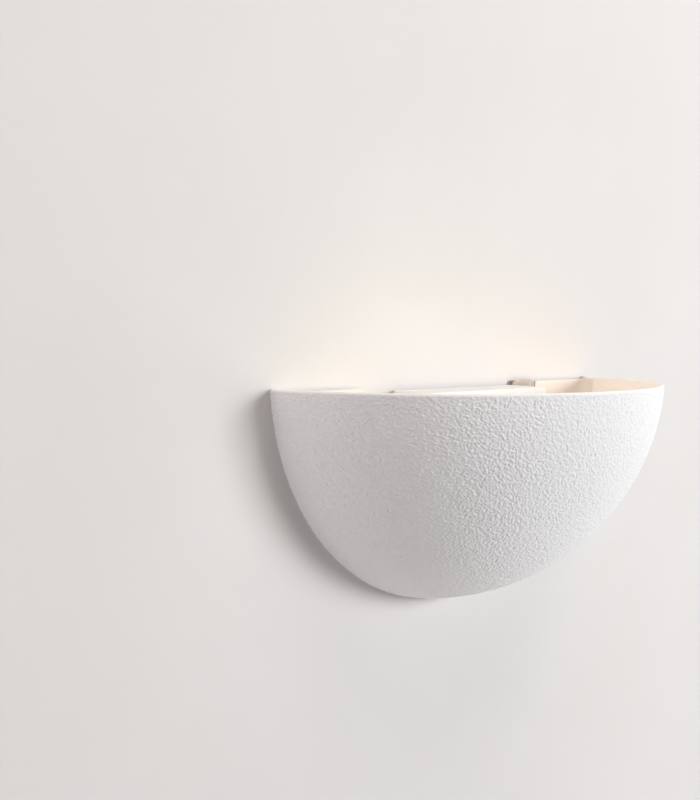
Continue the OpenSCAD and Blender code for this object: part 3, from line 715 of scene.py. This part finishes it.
# What several pieces share, in millimetres. A pair is a place (x, z) unless its line says otherwise.
STUD_X = 110
BRACKET_T = 1.5
THROUGH = (-2, 4)  # how far the cutters of the bracket's holes reach
DRILL = 1.55  # radius of the small screws' holes
SMALL, LARGE = (1.5, 2.85, 1.95, 0.5), (2, 3.8, 2.4, 0.7)  # radius, head radius, head height, pitch
CABLE_Z = -17
PILLARS = ((-48, -22), (48, 24))
EARTH = (-34, 18)
EARTH_HOLE = 2.05
BLOCK_FEET = ((-17.5, 18), (17.5, 18))
POLES, POLE_ROWS, POLE_OUT = (-10, 0, 10), (13, 23), 9.5
STRIP_FEET = ((70.5, 6), (70.5, -6))
HOLDER_FEET = (20, -4)  # heights
WIRE_PORT = (20, -22)  # distance from the wall, height
THREAD_PITCH = 3.6  # of the lamp's cap and its holder


def back_panel():
    """The bowl's back panel with its hollow corner, open above the cut-out."""
    inside = BALL_R - BOWL_T - 0.1
    outs = [BRACKET_T + 9.7 * k / 6 for k in range(7)]
    edge = [(math.sqrt(inside**2 - (BALL_Y + d) ** 2), d) for d in outs]
    profile = [(0, 1.5)] + edge + arc(137.8, 10.5, 7, 5.7, -90, 14) + [(0, 3.5)]
    disc = Shape().turned(profile, out_of_wall(0, BALL.z), 240)
    opening = path((-170, 44.5), (-84, 44.5, 2), (-84, -42, 12), (84, -42, 12), (84, 44.5, 2),
                   (170, 44.5), (170, 220), (-170, 220))
    cutter = Shape().prism(opening, -5, 30, on_wall)
    for side in (-1, 1):
        cutter.turned(*hole(side * STUD_X, 0, 2.3, -4, 9), 40)
    return in_metres(worked(disc, cutter, 0.45))


def wiring_cover():
    """The moulded box over the wiring, open to the wall, with soft edges."""
    outer, inner = (-57, 57, -31.5, 42.5, 2.5), (-55, 55, -29.5, 40.5, 1.5)
    loops = [hoop(*inner, 31, 0.8), hoop(*inner, 30.75, 0.25), hoop(*inner, 30.2), hoop(*inner, 1.8),
             hoop(*outer, 1.5, 1.75), hoop(*outer, 1.5, 0.3), hoop(*outer, 1.8)]
    turns = [math.pi / 2 * k / 7 for k in range(8)]
    loops += [hoop(*outer, 31.6 + 1.4 * math.sin(t), 1.4 * (1 - math.cos(t))) for t in turns]
    cutter = Shape()
    for place in PILLARS:
        cutter.turned(*hole(*place, 1.8, 25, 40), 32)
    cutter.turned(rod(4.55, 53.5, 62), along_wall(*WIRE_PORT), 40)
    return in_metres(worked(Shape().loft(loops), cutter, 0.3, angle=50))


def holder_strip():
    """The steel angle: a leaf on the bracket, a bend and an arm that carries the lamp holder."""
    bend = [(66, 1.5)] + arc(61.5, 5, 3.5, 270, 180, 10) + [(58, 12), (60, 12)]
    bend += arc(61.5, 5, 1.5, 180, 270, 10) + [(66, 3.5)]
    leaf = path((61.5, -20, 1), (83, -20, 2), (83, 45.5, 3), (58, 45.5, 3), (58, 30), (61.5, 30))
    arm = [(5, 30), (5, -14)] + arc(LAMP_OUT, LAMP_Z, 22, -90, 90, 40)
    cutter = Shape()
    for place in STRIP_FEET:
        cutter.turned(*hole(*place, DRILL, 0, 6), 32)
    for z, r in ((LAMP_Z, 7), (HOLDER_FEET[0], DRILL), (HOLDER_FEET[1], DRILL)):
        cutter.turned(rod(r, 55, 63), along_wall(LAMP_OUT, z), 40)
    return in_metres(worked(
        Shape().prism(bend, -14, 30, seen_from_above), cutter, 0.35,
        [Shape().prism(leaf, 1.5, 3.5, on_wall), Shape().prism(arm, ARM_X, ARM_X + 2, across_arm)]))


def wall_bracket():
    """The zinc-plated plate with its wall slots, cable hole and two ears."""
    outline = path((-120, -13, 5), (-59, -13, 1.5), (-59, -36, 5), (59, -36, 5), (59, -13, 1.5),
                   (120, -13, 5), (120, 13, 5), (59, 13, 1.5), (59, 32, 5), (-59, 32, 5),
                   (-59, 13, 1.5), (-120, 13, 5))
    cutter = Shape()
    for side in (-1, 1):
        cutter.prism(slot_outline(side * 40, 0, 15, 5.5), *THROUGH, on_wall)
    small = [(*place, DRILL) for place in BLOCK_FEET + STRIP_FEET]
    pillars = [(*place, 2.55) for place in PILLARS]
    for x, z, r in small + pillars + [(*EARTH, EARTH_HOLE)]:
        cutter.turned(*hole(x, z, r, *THROUGH), 32)
    for side in (-1, 1):
        cutter.turned(*hole(side * STUD_X, 0, 2.95, *THROUGH), 40)
    cutter.turned(*hole(0, CABLE_Z, 7.05, *THROUGH), 64)
    return in_metres(worked(Shape().prism(outline, 0, BRACKET_T, on_wall), cutter, 0.2))


def bracket_studs():
    """Two studs, clinched in the bracket's ears."""
    profile = softened([(0, 0), (2.9, 0), (2.9, 1.5), (2, 1.5)], 0.2) + steps_along(2, 2.2, 14.4, 0.11)
    profile += [(1.5, 15), (0, 15)]
    shape = Shape()
    for side in (-1, 1):
        shape.turned(profile, out_of_wall(side * STUD_X, 0), 32, thread(0.7, 0.3, 4.8, 14.6, 1.9))
    return shape.mesh(MM)


def nut_washers():
    """The plastic washers under the nuts."""
    profile = softened([(2.3, 3.5), (7, 3.5), (7, 4.5), (2.3, 4.5)], 0.3)
    shape = Shape()
    for side in (-1, 1):
        shape.turned(profile, out_of_wall(side * STUD_X, 0))
    return shape.mesh(MM)


def thumb_nut(x):
    """A knurled nut: a collar towards the wall and a chamfered, slightly dished head."""
    profile = [(2.1, 4.8), (2.4, 4.5), (4.7, 4.5), (5, 4.8), (5, 7.3), (5.2, 7.5), (7.3, 7.5),
               (7.75, 7.75), (8, 8.2), (8, 9.5), (8, 10.6), (8, 11.8), (7.75, 12.25), (7.3, 12.5),
               (6.6, 12.5), (6.3, 12.3), (5.9, 12.15), (3.6, 12.15), (3.3, 12.35), (2.5, 12.35),
               (2.1, 11.95)]

    def grooves(r, d, turn):
        return -0.5 * max(0.0, math.cos(24 * turn)) ** 2 * min(1, max(0, (r - 7.4) / 0.4))

    return Shape().turned(profile, out_of_wall(x, 0), 288, grooves).mesh(MM)


def cable_bush():
    """The rubber bush in the bracket, with its flange towards the room."""
    profile = [(4.5, 0), (7, 0), (7, 1.5), (9, 1.5), (9, 2.7), (7, 2.7), (6.7, 7), (4.5, 7)]
    return Shape().turned(softened(profile, 0.5), out_of_wall(0, CABLE_Z), 72).mesh(MM)


def cover_pillars():
    """Two pillars, clinched in the bracket and tapped for the cover's screws."""
    profile = [(0, 0), (2.5, 0), (2.5, 1.5), (3.5, 1.5), (3.5, 31), (1.6, 31), (1.6, 22), (0, 22)]
    shape = Shape()
    for place in PILLARS:
        shape.turned(softened(profile, 0.35), out_of_wall(*place), 40)
    return shape.mesh(MM)


def wire_bush():
    """The bush in the cover's side, where the lamp's wires leave."""
    profile = [(3.2, 53), (4.3, 53), (4.5, 55), (4.5, 57), (5.8, 57), (5.8, 58.5), (3.2, 58.5)]
    return Shape().turned(softened(profile, 0.4), along_wall(*WIRE_PORT), 56).mesh(MM)


def terminal_block():
    """Three towers on a base, bored for the sleeves and their screws."""
    base = Shape().prism(path((-20.5, 8, 1), (20.5, 8, 1), (20.5, 28, 1), (-20.5, 28, 1)),
                         BRACKET_T, POLE_OUT, on_wall)
    cutter, towers = Shape(), []
    for x in POLES:
        tower = path((x - 3.8, 8), (x + 3.8, 8), (x + 3.8, 28), (x - 3.8, 28))
        towers.append(Shape().prism(tower, 5, 17.5, on_wall))
        cutter.turned(rod(2.65, 6, 30), upward(x, POLE_OUT), 36)
        for z in POLE_ROWS:
            cutter.turned(*hole(x, z, 1.8, POLE_OUT, 19), 32)
    for place in BLOCK_FEET:
        cutter.turned(*hole(*place, DRILL, 0, 12), 32)
    return in_metres(worked(base, cutter, 0.3, towers))


def terminal_sleeves():
    """The poles' brass tubes."""
    profile = softened([(1.25, 11), (2.6, 11), (2.6, 25), (1.25, 25)], 0.25)
    shape = Shape()
    for x in POLES:
        shape.turned(profile, upward(x, POLE_OUT), 40)
    return shape.mesh(MM)


def terminal_screws():
    """Slotted set screws, down in the block's towers."""
    profile = [(0, 2.35), (1.2, 2.35)] + steps_along(1.5, 2.1, -2.1, 0.1) + [(1.2, -2.35), (0, -2.35)]
    body = Shape().turned(profile, local, 28, thread(0.5, 0.2, -2.1, 2.1, 1.4))
    driver = Shape().prism([(-2, -0.3), (2, -0.3), (2, 0.3), (-2, 0.3)], 1.6, 3, straight)
    places = [Matrix.Translation((x, -13.15, z)) @ TO_ROOM @ Matrix.Rotation(0.4 * x + z, 4, "Z")
              for x in POLES for z in POLE_ROWS]
    return in_metres(Shape().copies(worked(body, driver, 0.05), places).mesh(merge=COPY_MERGE))


def earth_washer():
    """The flat washer under the earth wire's lug."""
    profile = softened([(EARTH_HOLE, 1.5), (4, 1.5), (4, 2.3), (EARTH_HOLE, 2.3)], 0.2)
    return Shape().turned(profile, out_of_wall(*EARTH)).mesh(MM)


def earth_lug():
    """A ring tongue with a crimped barrel."""
    ring = arc(*EARTH, 4, 63, -243, 48) + [(-35.8, 29), (-32.2, 29)]
    cutter = Shape().turned(*hole(*EARTH, EARTH_HOLE, 0, 6), 32)
    flat = worked(Shape().prism(ring, 2.3, 3.1, on_wall), cutter, 0.12)
    profile = [(0, 22), (1.8, 22)] + steps_along(1.8, 22.4, 28.8, 0.4)
    profile += [(1.6, 29), (1.15, 29), (1.15, 25), (0, 25)]

    def crimp(r, d, turn):
        return -0.35 * math.exp(-(((d - 25.5) / 1.3) ** 2)) * max(0, -math.sin(turn)) if r > 1.5 else 0.0

    barrel = Shape().turned(profile, upward(EARTH[0], 4.1), 32, crimp)
    return in_metres(barrel.copies(flat, [Matrix.Identity(4)]).mesh(merge=COPY_MERGE))


def wire(way):
    """A wire's sleeve."""
    return Shape().tube(smooth_way(way), 1.1).mesh(MM)


def holder_body():
    """The holder's cup, with two wire ports and two screw holes in its base."""
    profile = softened([(0, 0), (17, 0), (18.4, 0.6), (19, 2), (19, 26.6), (18.5, 27.1), (18.5, 28),
                        (13.85, 28), (13.85, 14), (0, 14)], 0.5)
    cutter = Shape()
    for out in (62, 68):
        cutter.turned(rod(1.25, 51, 60), along_wall(out, LAMP_Z), 24)
    for z in HOLDER_FEET:
        cutter.turned(rod(DRILL, 48, 60), along_wall(LAMP_OUT, z), 24)
    return in_metres(worked(Shape().turned(profile, along_lamp(ARM_X), 96), cutter, 0.25))


def holder_collar():
    """The skirted ring: a ribbed band, a waist and a lip."""
    profile = softened([(13.85, 28), (20.5, 28), (20.5, 31), (20.5, 34), (19, 34.4), (19, 42.6),
                        (20.5, 43), (20.5, 46), (19, 47), (13.85, 47)], 0.5)

    def ribs(r, d, turn):
        if d >= 34.2:
            return 0.0
        return -0.5 * (0.5 - 0.5 * math.cos(56 * turn)) * min(1, max(0, (r - 19.6) / 0.6))

    return Shape().turned(profile, along_lamp(ARM_X), 560, ribs).mesh(MM)


def holder_thread():
    """The rolled thread liner."""
    profile = steps_along(13.8, 14, 45, 0.3) + steps_along(13.55, 45, 14, 0.3)
    return Shape().turned(profile, along_lamp(ARM_X), 64, thread(THREAD_PITCH, 0.22, 15, 45)).mesh(MM)


def holder_contact():
    """A sprung tongue bent from brass strip."""
    outline = path((44, -1), (44, 10, 1.2), (38.2, 10, 1.2), (38.2, 5), (39, 5), (39, 9.2, 0.5),
                   (43.2, 9.2, 0.5), (43.2, -1))
    return in_metres(worked(Shape().prism(outline, -LAMP_OUT - 3, 3 - LAMP_OUT, across_lamp), None, 0.12))


def holder_screws():
    """The screws through the strip's arm into the holder, their heads to the right."""
    places = [Matrix.Translation((ARM_X + 2, -LAMP_OUT, z)) @ Matrix.Rotation(math.radians(90), 4, "Y")
              @ Matrix.Rotation(z, 4, "Z") for z in HOLDER_FEET]
    return in_metres(Shape().copies(screw(*SMALL, 11), places).mesh(merge=COPY_MERGE))


def lamp_globe():
    """The round diffuser, hollow."""
    profile = arc(0, 70.5, 27.5, -26.74, 90, 40) + arc(0, 70.5, 26.3, 90, -28.07, 40)
    return Shape().turned(profile, along_lamp(LAMP_TIP), 128).mesh(MM)


def lamp_housing():
    """The flared housing, with a fine groove under the globe."""
    steps = [k / 32 for k in range(33)]
    flare = [(13.6 + 10.96 * t * t * (3 - 2 * t), 27.5 + 30.625 * t) for t in steps]
    outer = [(r - (0.3 if 55.6 < d < 56.6 else 0), d) for r, d in flare]
    inner = [(r - 1.2, d) for r, d in reversed(flare)]
    return Shape().turned(outer + inner, along_lamp(LAMP_TIP), 128).mesh(MM)


def lamp_cap():
    """The screw cap with its rolled thread."""
    profile = [(0, 6), (10.5, 6), (10.5, 27.5)] + steps_along(13.1, 27.5, 5.2, 0.3)
    profile += [(11.9, 4.6), (11.2, 4.5), (0, 4.5)]
    rolled = thread(THREAD_PITCH, 0.9, 5.3, 26, 12.8)
    return Shape().turned(profile, along_lamp(LAMP_TIP), 72, rolled).mesh(MM)


def lamp_insulator():
    """The dark cone round the lamp's contact."""
    profile = [(0, 1.5), (4.7, 1.5), (5.1, 1.65), (7.5, 2.75), (10.8, 4.3), (10.8, 4.5), (0, 4.5)]
    return Shape().turned(profile, along_lamp(LAMP_TIP), 72).mesh(MM)


def lamp_contact():
    """The lamp's domed contact."""
    profile = [(0, 0), (1.2, 0), (2.4, 0.25), (3.5, 0.3), (4.4, 0.7), (4.6, 1.0), (4.6, 1.5), (0, 1.5)]
    return Shape().turned(profile, along_lamp(LAMP_TIP), 56).mesh(MM)


def lamp_board():
    """The round board with twelve light diodes."""
    disc = softened([(0, 56.5), (22.76, 56.5), (22.76, 58.1), (0, 58.1)], 0.2)
    shape = Shape().turned(disc, along_lamp(LAMP_TIP))
    corners = path((-1.4, -1.4, 0.3), (1.4, -1.4, 0.3), (1.4, 1.4, 0.3), (-1.4, 1.4, 0.3))
    for t in (TAU * k / 12 for k in range(12)):
        chip = [Vector((14.8 + a, b)) for a, b in corners]
        spun = [(p.x * math.cos(t) - p.y * math.sin(t), p.x * math.sin(t) + p.y * math.cos(t))
                for p in chip]
        shape.prism(spun, 58.05, 58.9, up_the_lamp)
    return shape.mesh(MM)


# Each wire runs from its pole's sleeve to the holder's port or the earth lug, in millimetres.
live_way = [(0, -9.5, 22), (0, -9.5, 30), (4, -11.5, 34.5), (18, -14.5, 33.5), (27, -17.5, 22),
            (30, -19, 2), (37, -20, -15), (48, -20, -20.6), (62, -20, -20.6), (71, -29, -17),
            (76, -46, -8), (73, -59, 3), (65, -62, 8), (59, -62, 8)]
neutral_way = [(10, -9.5, 22), (10, -9.5, 29), (13, -10.5, 29.5), (19, -12.5, 26.5), (23, -14.5, 16),
               (26, -18, -2), (34, -20, -20), (48, -20, -23.4), (62, -20, -23.4), (73, -31, -22),
               (80, -50, -13), (77.5, -64, -1), (66, -68, 8), (59, -68, 8)]
earth_way = [(-10, -9.5, 22), (-10, -9.5, 28), (-10, -9.5, 29), (-15, -8.5, 34.5), (-23, -7, 36),
             (-30.5, -5.6, 34), (-34, -4.1, 30.67), (-34, -4.1, 29), (-34, -4.1, 26)]

# node, mesh, body, slot and look
pieces = [
    ("back_panel", back_panel(), "bowl", "bowl_paint", SHADED_PANEL_PAINT),
    ("wiring_cover", wiring_cover(), "mount", "cover_paint", COVER),
    ("holder_strip", holder_strip(), "mount", "raw_steel", STEEL),
    ("wall_bracket", wall_bracket(), "mount", "zinc_steel", ZINC),
    ("bracket_studs", bracket_studs(), "mount", "zinc_steel", SCREW_ZINC),
    ("nut_washers", nut_washers(), "bowl", "white_plastic", WHITE),
    ("thumb_nut_left", thumb_nut(-STUD_X), "nut_left", "nickel", NICKEL),
    ("thumb_nut_right", thumb_nut(STUD_X), "nut_right", "nickel", NICKEL),
    ("cable_bush", cable_bush(), "mount", "black_rubber", BLACK),
    ("cover_pillars", cover_pillars(), "mount", "zinc_steel", SCREW_ZINC),
    ("cover_screws", screws_at(PILLARS, 33, SMALL, 8), "mount", "nickel", NICKEL),
    ("wire_bush", wire_bush(), "mount", "white_plastic", WHITE),
    ("terminal_block", terminal_block(), "mount", "white_plastic", WHITE),
    ("terminal_sleeves", terminal_sleeves(), "mount", "brass", BRASS),
    ("terminal_screws", terminal_screws(), "mount", "nickel", NICKEL),
    ("terminal_fixing_screws", screws_at(BLOCK_FEET, POLE_OUT, SMALL, 9.2), "mount", "zinc_steel",
     SCREW_ZINC),
    ("earth_screw", screws_at([EARTH], 3.1, LARGE, 2.8), "mount", "brass", BRASS),
    ("earth_washer", earth_washer(), "mount", "zinc_steel", SCREW_ZINC),
    ("earth_lug", earth_lug(), "mount", "nickel", NICKEL),
    ("earth_wire", wire(earth_way), "mount", "earth_insulation", EARTH_SLEEVE),
    ("live_wire", wire(live_way), "mount", "live_insulation", LIVE),
    ("neutral_wire", wire(neutral_way), "mount", "neutral_insulation", NEUTRAL),
    ("strip_screws", screws_at(STRIP_FEET, 3.5, SMALL, 3.2), "mount", "zinc_steel", SCREW_ZINC),
    ("holder_body", holder_body(), "mount", "white_plastic", CERAMIC),
    ("holder_collar", holder_collar(), "mount", "white_plastic", CERAMIC),
    ("holder_thread", holder_thread(), "mount", "nickel", NICKEL),
    ("holder_contact", holder_contact(), "mount", "brass", BRASS),
    ("holder_screws", holder_screws(), "mount", "zinc_steel", SCREW_ZINC),
    ("lamp_globe", lamp_globe(), "lamp", "lamp_diffuser", GLOW),
    ("lamp_housing", lamp_housing(), "lamp", "lamp_plastic", HOUSING),
    ("lamp_cap", lamp_cap(), "lamp", "nickel", NICKEL),
    ("lamp_insulator", lamp_insulator(), "lamp", "black_rubber", GLASS_BLACK),
    ("lamp_contact", lamp_contact(), "lamp", "nickel", NICKEL),
    ("lamp_led_board", lamp_board(), "lamp", "board", BOARD),
]
shown = {row[0]: dressed(*row) for row in pieces}

# --------------------------------------------------------------- wall, floor

CLEAR = 0.008  # metres; a piece closer to the wall than this is lit through it


def wall_finish():
    """Pale plaster. From behind, or within a few millimetres of a piece, it lets light through."""
    f = Finish("plaster", roughness=0.95)
    soft = f.noise(160, 3, 0.6)
    trowel = f.noise(22, 3, 0.55, 0.6)
    colour = f.mix(f.even(soft), (0.692, 0.664, 0.650), (0.708, 0.682, 0.670))
    f.set(colour, None, f.bump(trowel, 0.10))
    light = f.add("ShaderNodeLightPath")
    behind = f.add("ShaderNodeNewGeometry").outputs["Backfacing"]
    near = f.math("LESS_THAN", light.outputs["Ray Length"], CLEAR)
    near = f.math("MULTIPLY", near, f.math("SUBTRACT", 1.0, light.outputs["Is Camera Ray"]))
    clear = f.math("MAXIMUM", behind, near)
    mixed = f.add("ShaderNodeMixShader")
    f.feed(mixed.inputs[0], clear)
    f.feed(mixed.inputs[1], f.bsdf.outputs[0])
    f.feed(mixed.inputs[2], f.add("ShaderNodeBsdfTransparent").outputs[0])
    f.feed(f.tree.nodes["Material Output"].inputs["Surface"], mixed.outputs[0])
    return f.material


def floor_finish():
    """A pale, slightly uneven floor."""
    f = Finish("pale_floor", roughness=0.7)
    soft = f.noise(90, 3)
    colour = f.mix(soft, (0.70, 0.69, 0.68), (0.74, 0.73, 0.72))
    return f.set(colour, None, f.bump(soft, 0.2))


def stage_plane(name, corners, look):
    """A flat stage piece, with corners in metres."""
    mesh = bpy.data.meshes.new(name)
    mesh.from_pydata(corners, [], [(0, 1, 2, 3)])
    mesh.materials.append(look)
    placed(name, mesh)


# In metres. The wall lies just behind the bracket's back.
WIDE, HIGH, FLOOR, NEAR, FAR, BEHIND = 4, 2.6, -1.3, -5, 5, 0.0003
stage_plane("wall", [(-WIDE, BEHIND, FLOOR), (WIDE, BEHIND, FLOOR), (WIDE, BEHIND, HIGH),
                     (-WIDE, BEHIND, HIGH)], wall_finish())
stage_plane("floor", [(-WIDE, NEAR, FLOOR), (WIDE, NEAR, FLOOR), (WIDE, FAR, FLOOR),
                      (-WIDE, FAR, FLOOR)], floor_finish())

# ----------------------------------------------------------- light and camera

AIM = at(0, -50, 0)  # the point that the soft boxes face


def soft_box(name, turn, rise, far, size, power, colour):
    """A square lamp: turn degrees right of the wall's normal and rise degrees up from the object."""
    t, r = math.radians(turn), math.radians(rise)
    way = Vector((math.sin(t) * math.cos(r), -math.cos(t) * math.cos(r), math.sin(r)))
    data = bpy.data.lights.new(name, "AREA")
    data.shape = "SQUARE"
    data.size = size
    data.energy = power
    data.color = colour
    obj = placed(name, data)
    obj.location = AIM + way * far
    obj.rotation_euler = way.to_track_quat("Z", "Y").to_euler()


def bulb(name, place, power, colour):
    """A small round lamp."""
    data = bpy.data.lights.new(name, "POINT")
    data.energy = power
    data.shadow_soft_size = 0.03
    data.color = colour
    placed(name, data).location = place


soft_box("key", 33, 9, 3.0, 0.9, 82, (0.96, 0.985, 1.0))
soft_box("side", -88, 6, 1.3, 0.3, 1.6, (1.0, 0.90, 0.93))
soft_box("high_side", -87, 38, 1.3, 0.3, 3.8, (1.0, 0.93, 0.92))
soft_box("low_side", -87, -45, 1.3, 0.3, 0.9, (1.0, 0.93, 0.94))
soft_box("top", 0, 70, 2.0, 1.2, 15.5, (1.0, 0.92, 0.86))
soft_box("behind", 160, 25, 1.6, 1.2, 14, (1.0, 0.98, 0.96))
bulb("lamp_glow", at(-32.5, -88, 9), 0.125, (1.0, 0.96, 0.68))
bulb("lamp_spill", at(90, -38, 4), 0.052, (1.0, 0.70, 0.42))
shown["lamp_globe"].visible_shadow = False
shown["lamp_led_board"].visible_shadow = False

world = bpy.data.worlds.new("studio")
scene.world = world
world.use_nodes = True
sky = world.node_tree.nodes["Background"]
sky.inputs["Color"].default_value = (0.98, 0.985, 1.0, 1)
sky.inputs["Strength"].default_value = 0.115

camera = bpy.data.cameras.new("camera")
camera.sensor_width = 36
camera.lens = 41.44
camera.clip_start = 0.01
camera.clip_end = 50
camera_obj = placed("camera", camera)
yaw, pitch, roll = math.radians(42.08), math.radians(-3.94), math.radians(0.31)
ahead = Vector((math.sin(yaw) * math.cos(pitch), math.cos(yaw) * math.cos(pitch), math.sin(pitch)))
right = Vector((math.cos(yaw), -math.sin(yaw), 0))
above = right.cross(ahead)
right, above = (right * math.cos(roll) + above * math.sin(roll),
                above * math.cos(roll) - right * math.sin(roll))
turned = Matrix((right, above, -ahead)).transposed().to_4x4()
camera_obj.matrix_world = Matrix.Translation((-0.4535, -0.4018, 0.0753)) @ turned
scene.camera = camera_obj

scene.view_settings.view_transform = "Standard"
